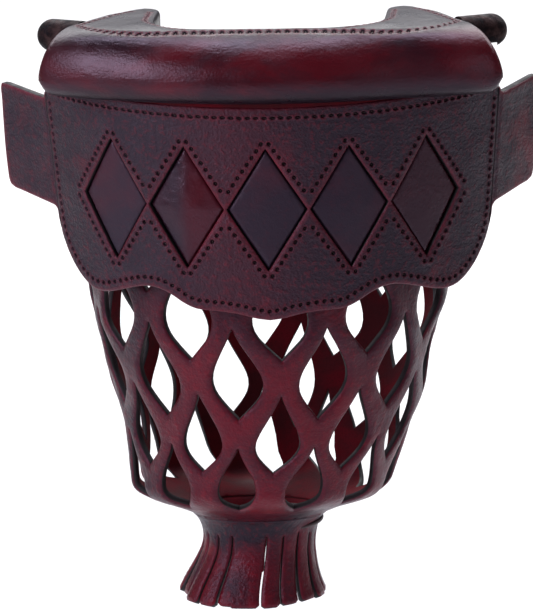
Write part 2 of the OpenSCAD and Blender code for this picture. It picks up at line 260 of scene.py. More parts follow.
def flat_mesh(outline, holes, free):
    """Triangles of a flat region, counterclockwise, with free points inside it."""
    coords = []
    edges = []
    for loop in [outline, *holes]:
        start = len(coords)
        coords.extend(tuple(p) for p in loop)
        count = len(loop)
        edges.extend((start + i, start + (i + 1) % count) for i in range(count))
    coords.extend(tuple(p) for p in free)
    found = delaunay_2d_cdt([Vector(c) for c in coords], edges, [], 0, 1e-4)
    points = np.array([tuple(v) for v in found[0]])
    faces = np.array([f for f in found[2]])
    middle = points[faces].mean(axis=1)
    return points, faces[within(middle, outline, holes)]


def rim_of(faces):
    """The edges that only one face uses, each in its face's direction."""
    used = set()
    for f in faces:
        for a, b in zip(f, np.roll(f, -1)):
            used.add((int(a), int(b)))
    return [e for e in used if (e[1], e[0]) not in used]


def shell(name, points, faces, place, front, back, materials, values):
    """A closed leather shell. The front lies at depth front, the back at depth back, and a wall joins them.

    materials are for the front, the cut edge and the back.
    """
    count = len(points)
    outer = place(points, front)
    inner = place(points, np.full(count, float(back)))
    rim = rim_of(faces)
    walls = [(b, a, a + count, b + count) for a, b in rim]
    backs = [(f[2] + count, f[1] + count, f[0] + count) for f in faces]
    which = [0] * len(faces) + [1] * len(walls) + [2] * len(backs)
    every = [tuple(f) for f in faces] + walls + backs
    doubled = {k: np.concatenate([v, v]) for k, v in values.items()}
    return make_mesh(name, np.concatenate([outer, inner]), every, materials, which, doubled)


def filling(low, high, pitch, outline, holes, gap, pits=()):
    """Points of a triangular grid inside an outline, clear of its edges, holes and pits."""
    xs = np.arange(low[0], high[0] + pitch / 2, pitch)
    ys = np.arange(low[1], high[1] + pitch / 2, pitch * 0.87)
    points = np.array([(x + (j % 2) * pitch / 2, y) for j, y in enumerate(ys) for x in xs])
    points = points[pit_reach(points, pits) > 2.05]
    points = points[within(points, outline, holes)]
    return points[distance(points, [outline, *holes]) > gap]


def seam_weld(points, across, low, high, digits):
    """New index of each flat point when the line at high joins the one at low, on axis across."""
    renamed = np.arange(len(points))
    at_low = {}
    for i, point in enumerate(points):
        if abs(point[across] - low) < 1e-5:
            at_low[round(point[1 - across], digits)] = i
    for i, point in enumerate(points):
        if abs(point[across] - high) < 1e-5:
            renamed[i] = at_low.get(round(point[1 - across], digits), i)
    return renamed


def welded(points, faces, renamed):
    """Points and faces after point i has become point renamed[i]."""
    used = np.unique(renamed)
    return points[used], np.searchsorted(used, renamed)[faces]


# ---------- awl holes ----------
PIT_RINGS = ((0.0, 1), (0.5, 7), (0.86, 9), (1.2, 9), (1.7, 10))
PIT_DEPTHS = ((0.0, 1.5), (0.5, 1.35), (0.86, 0.25), (1.2, -0.22), (1.75, 0.0))


def pit_points(pits):
    """Free points round each pit, given as (x, y, half length, half width, angle)."""
    found = []
    for x, y, long, wide, turn in pits:
        for radius, count in PIT_RINGS:
            for k in range(count):
                a = 2 * math.pi * k / count + radius
                u, v = radius * long * math.cos(a), radius * wide * math.sin(a)
                c, s = math.cos(turn), math.sin(turn)
                found.append((x + u * c - v * s, y + u * s + v * c))
    return np.array(found)


def pit_reach(points, pits):
    """Distance of each point from its nearest pit, as a share of the pit's own radius."""
    best = np.full(len(points), 9.0)
    for x, y, long, wide, turn in pits:
        d = points - (x, y)
        near = np.abs(d).max(axis=1) < 3 * max(long, wide)
        c, s = math.cos(turn), math.sin(turn)
        u = (d[near, 0] * c + d[near, 1] * s) / long
        v = (-d[near, 0] * s + d[near, 1] * c) / wide
        best[near] = np.minimum(best[near], np.hypot(u, v))
    return best


def pit_depth(reach):
    radii, depths = zip(*PIT_DEPTHS)
    return np.interp(reach, radii, depths)


def pits_on(line, pitch, size, turn, seed):
    """Pits at an even pitch along a polyline, each a little off."""
    total = lengths(line)[-1]
    count = max(1, round(total / pitch))
    at = (np.arange(count) + 0.5) * total / count
    centres = along(line, at)
    ahead = along(line, np.minimum(at + 0.5, total))
    behind = along(line, np.maximum(at - 0.5, 0))
    pits = []
    for i, (c, a, b) in enumerate(zip(centres, ahead, behind)):
        heading = math.atan2(a[1] - b[1], a[0] - b[0])
        grow = 1 + 0.1 * hashed(i, seed)
        dx, dy = 0.18 * hashed(i, seed + 1), 0.18 * hashed(i, seed + 2)
        tilt = heading + turn + 0.3 * hashed(i, seed + 3)
        pits.append((c[0] + dx, c[1] + dy, size[0] * grow, size[1] * grow, tilt))
    return pits


def stitch_mesh(name, pits, place, material, depth, size=0.42):
    """A short waxed stitch lying in each pit, as a rounded bead along the pit."""
    points, faces = [], []
    for x, y, long, wide, turn in pits:
        start = len(points)
        c, s = math.cos(turn), math.sin(turn)
        for i in range(5):
            t = -1 + i / 2
            radius = size * math.sqrt(max(1 - t * t * 0.92, 0.05))
            for k in range(6):
                a = 2 * math.pi * k / 6
                u, v = t * long * 0.85, radius * math.cos(a)
                points.append((x + u * c - v * s, y + u * s + v * c, depth - radius * math.sin(a)))
        for i in range(4):
            for k in range(6):
                a, b = start + i * 6 + k, start + i * 6 + (k + 1) % 6
                faces.append((a, a + 6, b + 6, b))
        faces.append(tuple(start + k for k in range(6)))
        faces.append(tuple(start + 24 + 5 - k for k in range(6)))
    points = np.array(points)
    return make_mesh(name, place(points[:, :2], points[:, 2]), faces, [material])


# ---------- materials ----------
class Nodes:
    """Short calls for building one material's nodes."""

    def __init__(self, name):
        self.material = bpy.data.materials.new(name)
        self.material.use_nodes = True
        self.tree = self.material.node_tree
        self.shader = self.tree.nodes["Principled BSDF"]
        self.where = self.add("ShaderNodeTexCoord").outputs["Object"]

    def add(self, kind, **settings):
        node = self.tree.nodes.new(kind)
        for key, value in settings.items():
            setattr(node, key, value)
        return node

    def link(self, value, socket):
        if isinstance(value, (int, float, tuple)):
            socket.default_value = value
        else:
            self.tree.links.new(value, socket)

    def set(self, socket, value):
        self.link(value, self.shader.inputs[socket])

    def stretch(self, scale):
        node = self.add("ShaderNodeMapping")
        node.inputs["Scale"].default_value = scale
        self.link(self.where, node.inputs["Vector"])
        return node.outputs["Vector"]

    def noise(self, scale, detail=3.0, roughness=0.55, warp=0.0, where=None):
        node = self.add("ShaderNodeTexNoise")
        node.inputs["Scale"].default_value = scale
        node.inputs["Detail"].default_value = detail
        node.inputs["Roughness"].default_value = roughness
        node.inputs["Distortion"].default_value = warp
        self.link(where or self.where, node.inputs["Vector"])
        return node.outputs["Fac"]

    def cells(self, scale):
        node = self.add("ShaderNodeTexVoronoi")
        node.inputs["Scale"].default_value = scale
        self.link(self.where, node.inputs["Vector"])
        return node.outputs["Distance"]

    def attribute(self, name):
        return self.add("ShaderNodeAttribute", attribute_name=name).outputs["Fac"]

    def math(self, kind, a, b=0.5, clamp=False):
        node = self.add("ShaderNodeMath", operation=kind, use_clamp=clamp)
        self.link(a, node.inputs[0])
        self.link(b, node.inputs[1])
        return node.outputs[0]

    def plus(self, a, b, share, clamp=False):
        return self.math("ADD", a, self.math("MULTIPLY", b, share), clamp)

    def between(self, value, low, high, to_low=0.0, to_high=1.0):
        node = self.add("ShaderNodeMapRange", interpolation_type="SMOOTHSTEP")
        self.link(value, node.inputs["Value"])
        node.inputs["From Min"].default_value = low
        node.inputs["From Max"].default_value = high
        node.inputs["To Min"].default_value = to_low
        node.inputs["To Max"].default_value = to_high
        return node.outputs["Result"]

    def mix(self, factor, a, b):
        node = self.add("ShaderNodeMix", data_type="RGBA")
        self.link(factor, node.inputs[0])
        self.link(a, node.inputs[6])
        self.link(b, node.inputs[7])
        return node.outputs[2]

    def bump(self, height, strength, depth, before=None):
        node = self.add("ShaderNodeBump")
        node.inputs["Strength"].default_value = strength
        node.inputs["Distance"].default_value = depth
        self.link(height, node.inputs["Height"])
        if before is not None:
            self.link(before, node.inputs["Normal"])
        return node.outputs["Normal"]

    def leather_surface(self, colour, shine):
        """Sets colour and roughness, with worn lips at the edges and painted shade in the holes, black and
        duller.
        """
        colour = self.mix(self.attribute("edge"), colour, LIP)
        # painted shade: black where the attribute pit is, for the shadow inside each awl hole
        colour = self.mix(self.attribute("pit"), colour, BLACK)
        self.set("Base Color", colour)
        self.set("Roughness", self.plus(shine, self.attribute("pit"), 0.4, clamp=True))
        self.set("Specular Tint", GLEAM_TINT)


def rgb(red, green, blue):
    """An sRGB colour, 0 to 255, as the shader's linear colour."""
    linear = [((v / 255 + 0.055) / 1.055) ** 2.4 if v > 10 else v / 3295 for v in (red, green, blue)]
    return (*linear, 1.0)


DARK = rgb(25, 14, 26)
RED = rgb(112, 4, 23)
LIP = rgb(126, 20, 40)
BLACK = rgb(5, 3, 6)
GLEAM_TINT = (0.95, 0.8, 1.0, 1.0)


def leather(name, amount, rough_low=0.34, rough_high=0.5, gleam=0.5, grain=0.6, lump=28.0):
    """Antiqued oxblood leather: dark dye over red, redder where the attribute glow is: wear, and on the net
    also a painted sheen.
    """
    n = Nodes(name)
    cloud = n.noise(lump, 4.0, 0.6, 0.4)
    fine = n.noise(420.0, 3.0, 0.7)
    speck = n.noise(1500.0, 2.0, 0.6)
    worn = n.between(cloud, 0.62 - amount * 0.3, 0.95 - amount * 0.3)
    worn = n.plus(worn, n.between(fine, 0.48, 0.7), 0.4)
    # glow: wear, and on the net also a painted sheen and painted shading of the straps
    worn = n.math("ADD", worn, n.attribute("glow"), clamp=True)
    colour = n.mix(worn, DARK, RED)
    colour = n.mix(n.between(speck, 0.55, 0.8, 0.0, 0.35), colour, BLACK)
    n.leather_surface(colour, n.between(n.noise(lump * 2.2, 3.0), 0.35, 0.65, rough_low, rough_high))
    n.set("Specular IOR Level", gleam)
    normal = n.bump(n.cells(850.0), grain, 0.0003)
    normal = n.bump(n.noise(420.0, 5.0, 0.65), grain, 0.0014, normal)
    crease = n.noise(55.0, 4.0, 0.65, 1.5, n.stretch((0.6, 0.6, 1.7)))
    normal = n.bump(n.math("ABSOLUTE", n.math("SUBTRACT", crease, 0.5)), 0.3, 0.0012, normal)
    n.set("Normal", normal)
    return n.material


def pad_leather():
    """The pad's glossy cover: black-purple top, red roll with long fine creases."""
    n = Nodes("pad_leather")
    cloud = n.noise(24.0, 4.0, 0.6, 0.6, n.stretch((0.7, 0.7, 1.4)))
    fine = n.noise(340.0, 4.0, 0.7)
    worn = n.math("MULTIPLY", n.between(cloud, 0.38, 0.68), n.attribute("roll"))
    worn = n.plus(worn, n.between(fine, 0.5, 0.78), 0.2)
    worn = n.math("ADD", worn, n.attribute("glow"), clamp=True)
    colour = n.mix(worn, rgb(20, 10, 20), rgb(88, 2, 15))
    scratch = n.noise(90.0, 5.0, 0.7, 2.0, n.stretch((0.35, 0.35, 3.0)))
    colour = n.mix(n.between(scratch, 0.66, 0.74, 0.0, 0.4), colour, rgb(92, 16, 28))
    colour = n.mix(n.between(n.noise(1300.0, 2.0), 0.55, 0.8, 0.0, 0.3), colour, BLACK)
    n.leather_surface(colour, n.between(n.noise(60.0, 4.0), 0.35, 0.7, 0.27, 0.4))
    n.set("Specular IOR Level", n.math("ADD", n.math("MULTIPLY", n.attribute("roll"), 0.3), 0.2))
    normal = n.bump(n.cells(800.0), 0.2, 0.00025)
    normal = n.bump(n.noise(330.0, 5.0, 0.65, 0.5, n.stretch((0.5, 0.5, 1.5))), 0.3, 0.0007, normal)
    normal = n.bump(n.noise(45.0, 4.0, 0.6, 1.2, n.stretch((0.4, 0.4, 2.2))), 0.1, 0.0015, normal)
    n.set("Normal", normal)
    return n.material


def mottled(name, spots, low, high, colours, shine, shine_range, relief, strength, depth):
    """Two colours in spots. spots, shine and relief are the settings of a noise."""
    n = Nodes(name)
    n.set("Base Color", n.mix(n.between(n.noise(*spots), low, high), *colours))
    n.set("Roughness", n.between(n.noise(*shine), 0.3, 0.7, *shine_range))
    n.set("Normal", n.bump(n.noise(*relief), strength, depth))
    return n


def edge_leather():
    """Burnished, nearly black cut edge."""
    colours = rgb(9, 5, 10), rgb(32, 10, 18)
    return mottled("edge_leather", (260.0, 4.0, 0.7), 0.45, 0.7, colours,
                   (150.0,), (0.5, 0.75), (700.0, 3.0, 0.7), 0.35, 0.0004).material


def flesh_leather():
    """Deep red flesh side with a soft nap."""
    n = Nodes("flesh_leather")
    cloud = n.noise(40.0, 4.0, 0.6, 0.5)
    colour = n.mix(n.between(cloud, 0.35, 0.7), rgb(70, 1, 14), rgb(108, 4, 24))
    colour = n.mix(n.between(n.noise(900.0, 3.0), 0.5, 0.8, 0.0, 0.5), colour, rgb(22, 0, 5))
    n.set("Base Color", colour)
    n.set("Roughness", n.between(cloud, 0.3, 0.7, 0.72, 0.88))
    n.set("Specular IOR Level", 0.25)
    normal = n.bump(n.noise(1100.0, 4.0, 0.75), 0.5, 0.0004)
    n.set("Normal", n.bump(n.noise(240.0, 3.0), 0.2, 0.0006, normal))
    return n.material


def thread_material():
    """Waxed dark thread with a twist."""
    colours = rgb(16, 5, 9), rgb(60, 16, 26)
    twist = (2200.0, 2.0)
    return mottled("waxed_thread", twist, 0.4, 0.6, colours, twist, (0.4, 0.6), twist, 0.4, 0.0002).material


def iron_material():
    """Rough cast iron, oiled dark brown with a little rust."""
    spots = (120.0, 5.0, 0.65)
    colours = rgb(26, 22, 26), rgb(58, 34, 32)
    n = mottled("cast_iron", spots, 0.4, 0.65, colours,
                (300.0,), (0.5, 0.75), (500.0, 4.0, 0.7), 0.6, 0.0008)
    n.set("Metallic", n.between(n.noise(*spots), 0.45, 0.7, 0.85, 0.35))
    return n.material


def brass_material():
    """Aged brass, painted darker as shade, so the shield's rivets in the gap under the pad look like
    shadow; mottled, with duller and shinier spots.
    """
    spots = (500.0, 4.0)
    # painted shade: both colours are darkened brass
    colours = rgb(92, 66, 34), rgb(48, 32, 20)
    n = mottled("aged_brass_painted_dark_for_shade", spots, 0.4, 0.65, colours, spots, (0.3, 0.55), (1200.0,), 0.15, 0.0002)
    n.set("Metallic", 1.0)
    return n.material


def stage_material():
    """Pale matt paper for the floor."""
    n = Nodes("pale_paper")
    n.set("Base Color", n.mix(n.noise(3.0, 2.0), (0.80, 0.80, 0.81, 1), (0.84, 0.84, 0.85, 1)))
    n.set("Roughness", 0.9)
    return n.material


# ---------- pad ----------
def outer_line(p):
    """The pad's widest line. Its stuffed ends bulge along the rail, the right one more."""
    a = p * CORNER_ANGLE
    more = smooth(0.5, 1.0, np.abs(p)) * np.where(p > 0, 1.0, 0.3)
    x = FRONT_R * np.sin(a) + 4.3 * more * np.sign(p)
    y = FRONT_CENTRE_Y - FRONT_R * np.cos(a) - 7.4 * more
    return np.stack([x, y], axis=1)


def pit_half():
    """The right half of the front row of stitch holes, in plan."""
    arc = [(SEAM_X + SEAM_R * math.sin(a), SEAM_Y + SEAM_R - SEAM_R * math.cos(a))
           for a in np.linspace(0, math.pi / 2, 30)]
    return np.array([(0, SEAM_Y), *arc])


def seam_half():
    """The pad's crest, which runs just behind the front row of holes."""
    line = shifted(spaced(pit_half(), 3.0), CREST)
    line[0, 0] = 0.0
    return line


def throat_half():
    corner = [(THROAT_X + THROAT_R * math.sin(a), THROAT_Y - THROAT_R * math.cos(a))
              for a in np.linspace(0, math.pi / 2, 16)]
    nose = [(NOSE[0] + NOSE_R * math.cos(a), NOSE[1] + NOSE_R * math.sin(a))
            for a in np.radians(np.linspace(180, 30, 14))]
    return np.array([(0, THROAT_Y - THROAT_R), *corner, *nose])


def half_line(line, p):
    """Point at share p, from -1 to 1, of a line given for its right half."""
    s = lengths(line)
    found = along(line, np.abs(p) * s[-1])
    found[:, 0] *= np.sign(p)
    return found


# the pad's section: q runs from the underside round the roll, over the top and down the throat
Q_TURN, Q_WIDE, Q_SEAM, Q_LIP, Q_WALL, Q_SOLE, Q_END = 10.0, 27.0, 58.0, 80.0, 86.0, 104.0, 110.0
LIP_R = 3.0


def pad_plan(p, q):
    """Plan point, height and widest height of the pad's surface, before the ends close."""
    outer = outer_line(p)
    seam = half_line(SEAM_HALF, p)
    throat = half_line(THROAT_HALF, p)
    back = unit(seam - outer)
    inner = unit(seam - throat)
    span = np.linalg.norm(seam - throat, axis=1)
    wide = WIDEST_Z - 3.0 * smooth(0.75, 1.0, np.abs(p))
    plan = np.zeros((len(p), 2))
    z = np.zeros(len(p))

    def put(mask, where, height):
        plan[mask] = where[mask]
        z[mask] = height[mask]

    turn = part(q, Q_TURN, Q_WIDE) * math.pi / 2
    low_in = UNDER_R * (1 - np.sin(turn))
    low_z = wide - (wide - PAD_LOW) * np.cos(turn)
    put(q <= Q_WIDE, outer + back * low_in[:, None], low_z)
    sole = part(q, 0, Q_TURN)
    start = throat + inner * LIP_R
    end = outer + back * UNDER_R
    put(q < Q_TURN, start + (end - start) * sole[:, None], np.full(len(p), PAD_LOW))
    rise = part(q, Q_WIDE, Q_SEAM) * math.pi / 2
    boxy = 1.14 - 0.42 * smooth(0.5, 0.95, np.abs(p))
    put((q > Q_WIDE) & (q <= Q_SEAM), outer + (seam - outer) * (1 - np.cos(rise) ** boxy)[:, None],
        wide + (PAD_TOP - wide) * np.sin(rise) ** boxy)
    flat = part(q, Q_SEAM, Q_LIP)
    crown = PAD_TOP + 0.9 * np.sin(flat * math.pi) * smooth(8, 26, span)
    put((q > Q_SEAM) & (q <= Q_LIP), seam + (start - seam) * flat[:, None], crown)
    lip = part(q, Q_LIP, Q_WALL) * math.pi / 2
    put((q > Q_LIP) & (q <= Q_WALL), start - inner * (LIP_R * np.sin(lip))[:, None],
        PAD_TOP - LIP_R * (1 - np.cos(lip)))
    wall = part(q, Q_WALL, Q_SOLE)
    put((q > Q_WALL) & (q <= Q_SOLE), throat, PAD_TOP - LIP_R - (PAD_TOP - PAD_LOW - 2 * LIP_R) * wall)
    sole = part(q, Q_SOLE, Q_END) * math.pi / 2
    put(q > Q_SOLE, start - inner * (LIP_R * np.cos(sole))[:, None], PAD_LOW + LIP_R * (1 - np.sin(sole)))
    return plan, z, wide


def end_gap(plan):
    return FACE_DIST - np.abs(plan[:, 0]) * FACE_NORMAL[0] - plan[:, 1] * FACE_NORMAL[1]


def quarter(gap, reach, power):
    """Rises from 0 at gap 0 to 1 at reach, like a quarter of a rounded square."""
    return np.sqrt(np.clip(1 - (1 - part(gap, 0, reach)) ** power, 0, 1))


def pad_place(pq, sink):
    """The pad's surface in layout millimetres; sink lowers it."""
    p, q = pq[:, 0], pq[:, 1]
    plan, z, wide = pad_plan(p, q)
    gap = np.clip(end_gap(plan), 0, None)
    lower = np.clip(smooth(-3.4, 3.6, gap) * 2 - 1, 0, 1)
    share = np.where(z > wide, quarter(gap, 6.5, 2.1), lower)
    z = wide + (z - wide) * (0.12 + 0.88 * share)
    round_off = 1.5 * (1 - quarter(gap, 5, 2))
    front = smooth(Q_SEAM, Q_WIDE, q) * smooth(0, Q_TURN, q)
    back = unit(half_line(SEAM_HALF, p) - outer_line(p))
    plan = plan + back * (round_off * front)[:, None]
    points = np.column_stack([plan, z])
    lumps = rough(points, 26.0, 2.0) * 0.5 + rough(points, 9.0, 3.0) * 0.12
    calm = smooth(0, 8, gap)
    points[:, 2] += lumps * calm * smooth(Q_TURN, Q_WIDE, q) * smooth(Q_SOLE, Q_LIP, q) - sink
    return points


def pad_find(xy):
    """The pad's own coordinates of points on its top face."""
    ps = np.linspace(-1, 1, 161)
    qs = np.linspace(Q_WIDE + 6, Q_LIP, 50)
    grid_p, grid_q = [g.ravel() for g in np.meshgrid(ps, qs)]
    table = pad_plan(grid_p, grid_q)[0]
    found = np.zeros((len(xy), 2))
    for i, point in enumerate(xy):
        k = int(np.argmin(((table - point) ** 2).sum(axis=1)))
        found[i] = grid_p[k], grid_q[k]
    step_p, step_q = 1e-3, 0.05
    for _ in range(7):
        here = pad_plan(found[:, 0], found[:, 1])[0]
        by_p = (pad_plan(found[:, 0] + step_p, found[:, 1])[0] - here) / step_p
        by_q = (pad_plan(found[:, 0], found[:, 1] + step_q)[0] - here) / step_q
        miss = xy - here
        det = by_p[:, 0] * by_q[:, 1] - by_p[:, 1] * by_q[:, 0]
        det = np.where(np.abs(det) < 1e-6, 1e-6, det)
        dp = (miss[:, 0] * by_q[:, 1] - miss[:, 1] * by_q[:, 0]) / det
        dq = (by_p[:, 0] * miss[:, 1] - by_p[:, 1] * miss[:, 0]) / det
        found[:, 0] = np.clip(found[:, 0] + np.clip(dp, -0.02, 0.02), -0.995, 0.995)
        found[:, 1] = np.clip(found[:, 1] + np.clip(dq, -2, 2), Q_WIDE + 3, Q_LIP)
    return found


def pad_seams():
    """Plan lines of the stitching on the pad: the front and the right end."""
    front = pit_half()
    front = front[end_gap(front) > 8.2]
    return both_sides(front), np.array([(86.0, 32.0), (63.5, 71.0)])


def throat_seam():
    """Plan line of the stitching along the inside of the right horn."""
    radius = THROAT_R + 4
    corner = [(THROAT_X + radius * math.sin(a), THROAT_Y - radius * math.cos(a))
              for a in np.linspace(0.35, math.pi / 2, 14)]
    return np.array([*corner, (THROAT_X + radius, 66.0)])


def pad_pits():
    """Pits of the pad in plan: oblique slits at both sides, and fat round holes in the middle."""
    front, end = pad_seams()
    pits = []
    for x, y, long, wide, turn in pits_on(front, 4.15, (1.0, 1.0), 0.0, 11.0):
        fat = float(1 - smooth(30, 62, abs(x)))
        slant = turn + math.pi / 2 - 0.7 * (1 - fat)
        pits.append((x, y, 1.7 + 0.9 * fat, 0.75 + 0.42 * fat, slant))
    for side, seed in ((1, 13.0), (-1, 14.0)):
        pits += pits_on(end * (side, 1), PAD_PITCH, (1.4, 0.75), 0.6 * side, seed)
        pits += pits_on(throat_seam() * (side, 1), PAD_PITCH, (1.3, 0.7), 0.6, seed + 2)
    return pits


def pad_sheet_points():
    """Free points of the pad's sheet, with the values of p and of q they are made from."""
    ps = np.linspace(-1, 1, 121)
    marks = (0, Q_TURN, Q_WIDE, Q_SEAM, Q_LIP, Q_WALL, Q_SOLE, Q_END)
    counts = (4, 9, 19, 13, 5, 5, 4)
    qs = [np.linspace(a, b, n + 1)[:-1] for a, b, n in zip(marks, marks[1:], counts)]
    qs = np.concatenate([*qs, [Q_END]])
    near = np.array([0.9955, 0.989, 0.978, 0.962, 0.945])
    ps = np.sort(np.concatenate([ps[np.abs(ps) < 0.94], near, -near]))
    inner = [(p, q) for p in ps for q in qs[1:-1]]
    return np.array(inner), ps, qs


def make_pad(material):
    pits = pad_pits()
    inner, ps, qs = pad_sheet_points()
    xy = pad_plan(inner[:, 0], inner[:, 1])[0]
    on_top = (inner[:, 1] > Q_WIDE + 4) & (inner[:, 1] <= Q_LIP)
    close = on_top & (pit_reach(xy, pits) < 2.1)
    scale = np.array((100.0, 1.0))
    outline = [(-1, q) for q in qs[::-1]] + [(p, 0) for p in ps] + [(1, q) for q in qs]
    outline += [(p, Q_END) for p in ps[::-1]]
    rings = pad_find(pit_points(pits))
    points, faces = flat_mesh(np.array(outline) * scale, [], np.concatenate([inner[~close], rings]) * scale)
    points = points / scale
    points, faces = welded(points, faces, seam_weld(points, 1, 0.0, Q_END, 5))
    plan = pad_plan(points[:, 0], points[:, 1])[0]
    top = (points[:, 1] > Q_WIDE + 4) & (points[:, 1] < Q_LIP + 1)
    reach = np.where(top, pit_reach(plan, pits), 9.0)
    front, end = pad_seams()
    seam_lines = [front, end, end * (-1, 1)]
    from_seam = np.where(top, distance(plan, seam_lines, closed=False), 99.0)
    sink = pit_depth(reach) + 0.7 * bell(from_seam, 2.2)
    solid = pad_place(points, sink)
    a, b, c = faces.T
    faces = faces[(a != b) & (b != c) & (a != c)]
    closed = [tuple(f) for f in faces] + end_caps(faces, points)
    q = points[:, 1]
    roll = smooth(Q_TURN + 5, Q_WIDE - 2, q) * smooth(Q_SEAM - 4, Q_SEAM - 14, q)
    values = {
        "roll": roll,
        "glow": 0.5 * roll * bell(q - (Q_WIDE + 5), 9.0),
        "edge": 0.75 * bell(reach - 1.3, 0.28),
        # pit: where the pad's holes get painted shade, black
        "pit": 1 - smooth(0.7, 1.05, reach),
    }
    return make_mesh("pad_cover", solid, closed, [material], None, values), pits


def end_caps(faces, points):
    """One polygon over each end of the pad, along the rim edges that lie there."""
    caps = []
    rim = rim_of(faces)
    for side in (-1, 1):
        after = {b: a for a, b in rim if min(points[a][0] * side, points[b][0] * side) > 0.9999}
        start = next(iter(after))
        loop = [start]
        while after.get(loop[-1], start) != start and len(loop) < 500:
            loop.append(after[loop[-1]])
        caps.append(tuple(loop))
    return caps


# ---------- shield ----------
def on_cone(flat, depth):
    """The flat shield's points (s, t) on the cone, depth behind its front."""
    s, t = flat[:, 0], flat[:, 1]
    d = np.hypot(s, APEX + t)
    turn = np.arctan2(s, APEX + t) / math.sin(FLARE)
    radius = d * math.sin(FLARE) - depth
    return np.column_stack([radius * np.sin(turn), SHIELD_R - radius * np.cos(turn),
                            (d - APEX) * math.cos(FLARE)])


def cone_place(flat, depth):
    """Like on_cone, with the gentle waves of the hide."""
    points = on_cone(flat, depth)
    level = np.column_stack([flat, np.zeros(len(flat))])
    points[:, 1] += rough(level, 30.0, 5.0) * 0.35 + rough(level, 10.0, 6.0) * 0.1
    return points


def fan(s, t):
    """A side line runs towards the cone's apex."""
    return (s * (1 + t / APEX), t)


def lower_edge():
    """The shield's scalloped lower edge from the middle to the right side."""
    marks = [(0, -51.5), (7, -50.6), (14, -48.6), (24, -47.6), (33.5, -47.6), (40, -45.2), (46.5, -41.2),
             (53, -39.0), (60, -38.9), (70, -41.9), (79.5, -45.2), (88, -46.4), (95.5, -44.4),
             (103.5, -38.6), (109, -32), (112.8, -25.8), (115.2, -18.5)]
    return cut_corners(marks, 2)


def shield_line():
    """The shield's free edge below the wings, from the left to the right split line."""
    right = [p for p in lower_edge() if p[0] < SPLIT_S - 1.5]
    return both_sides([*right, fan(SPLIT_S, -17.0)])


def diamond_loop(i, grow=0.0):
    """Outline of diamond i, counted from the middle, with sides moved out by grow."""
    half, tall = DIAMOND_W / 2 - 0.55 + grow, DIAMOND_H / 2 + grow * 1.5
    centre = i * DIAMOND_W
    corners = np.array([(-half, 0), (0, -tall), (half, 0), (0, tall), (-half, 0)])
    line = np.concatenate([spaced(corners[k:k + 2], 1.6)[:-1] for k in range(4)])
    lean = 0.012 * (i == 2) - 0.008 * (i == -2)
    line[:, 0] += centre + line[:, 1] * lean
    return line


def diamond_rows():
    """Lines of the awl holes round the diamonds, above and below."""
    reach = 4.6
    half = (DIAMONDS - 1) / 2
    outer = DIAMONDS / 2 * DIAMOND_W + 4.2
    lines = []
    for sign in (1, -1):
        marks = [(-outer, 0)]
        for k in range(DIAMONDS):
            centre = (k - half) * DIAMOND_W
            marks.append((centre, sign * (DIAMOND_H / 2 + reach)))
            if k < DIAMONDS - 1:
                marks.append((centre + DIAMOND_W / 2, sign * reach * 1.3))
        lines.append([*marks, (outer, 0)])
    return lines


def shield_pits():
    """Every awl hole of the shield, flat."""
    pits = []
    for k, marks in enumerate(diamond_rows()):
        for i in range(len(marks) - 1):
            a, b = np.array(marks[i], float), np.array(marks[i + 1], float)
            step = (b - a) / np.linalg.norm(b - a)
            line = np.array([a + step * 1.2, b - step * (1.2 if i % 2 == 0 else 1.6)])
            pits += pits_on(line, AWL_PITCH, AWL_SIZE, 0.3, 20.0 + i + 9 * k)
    low = shifted(both_sides(lower_edge()), 4.3)
    side_top = np.array(fan(BORDER_S, SHIELD_TOP - 8.0))
    side_low = np.array(fan(BORDER_S, -13.0))
    low = low[np.abs(low[:, 0]) < 110.6]
    border = np.concatenate([[side_top * (-1, 1)], [side_low * (-1, 1)], low, [side_low], [side_top]])
    pits += pits_on(cut_corners(border, 1), AWL_PITCH, AWL_SIZE, 0.4, 40.0)
    top = np.array([fan(-114.2, TOP_ROW), fan(114.2, TOP_ROW)])
    pits += pits_on(top, 3.75, (1.45, 0.8), -0.12, 50.0)
    return [q for q in pits if abs(q[0]) < 114.3 * (1 + q[1] / APEX)]


def make_shield(front, edge, flesh):
    pits = shield_pits()
    low = spaced(shield_line(), 1.5)
    right_top = np.array(fan(SPLIT_S, SHIELD_TOP))
    top = spaced(np.array([right_top, right_top * (-1, 1)]), 1.6)
    right = spaced(np.array([low[-1], right_top]), 1.6)
    left = spaced(np.array([right_top * (-1, 1), low[0]]), 1.6)
    outline = np.concatenate([low[:-1], right[:-1], top[:-1], left[:-1]])
    holes = [diamond_loop(i) for i in MIDDLE_OUT]
    free_edges = [low, top]
    base = filling((-117, -52), (117, 47), 1.9, outline, holes, 1.2, pits)
    rings = pit_points(pits)
    wider = [diamond_loop(i, 0.6) for i in MIDDLE_OUT]
    near = np.concatenate([spaced(shifted(low, 0.7), 1.5), spaced(shifted(top, 0.7), 1.6), *wider])
    near = near[pit_reach(near, pits) > 1.9]
    points, faces = flat_mesh(outline, holes, np.concatenate([base, rings, near]))
    reach = pit_reach(points, pits)
    from_edge = np.minimum(distance(points, free_edges, closed=False), distance(points, holes))
    depth = pit_depth(reach) + rounded(from_edge, 0.55, 0.8)
    depth += 0.25 * bell(points[:, 1] - TOP_ROW + 1.5, 0.9)
    values = {
        "edge": np.clip(0.42 * bell(reach - 1.25, 0.3) + 0.4 * bell(from_edge - 0.3, 0.6), 0, 0.8),
        # pit: where the shield's holes get painted shade, black
        "pit": 1 - smooth(0.7, 1.0, reach),
        "glow": 0.22 * bell(points[:, 0] + 14, 26) + 0.16 * bell(from_edge, 1.6),
    }
    piece = shell("shield", points, faces, cone_place, depth, SHIELD_T, (front, edge, flesh), values)
    return piece, pits


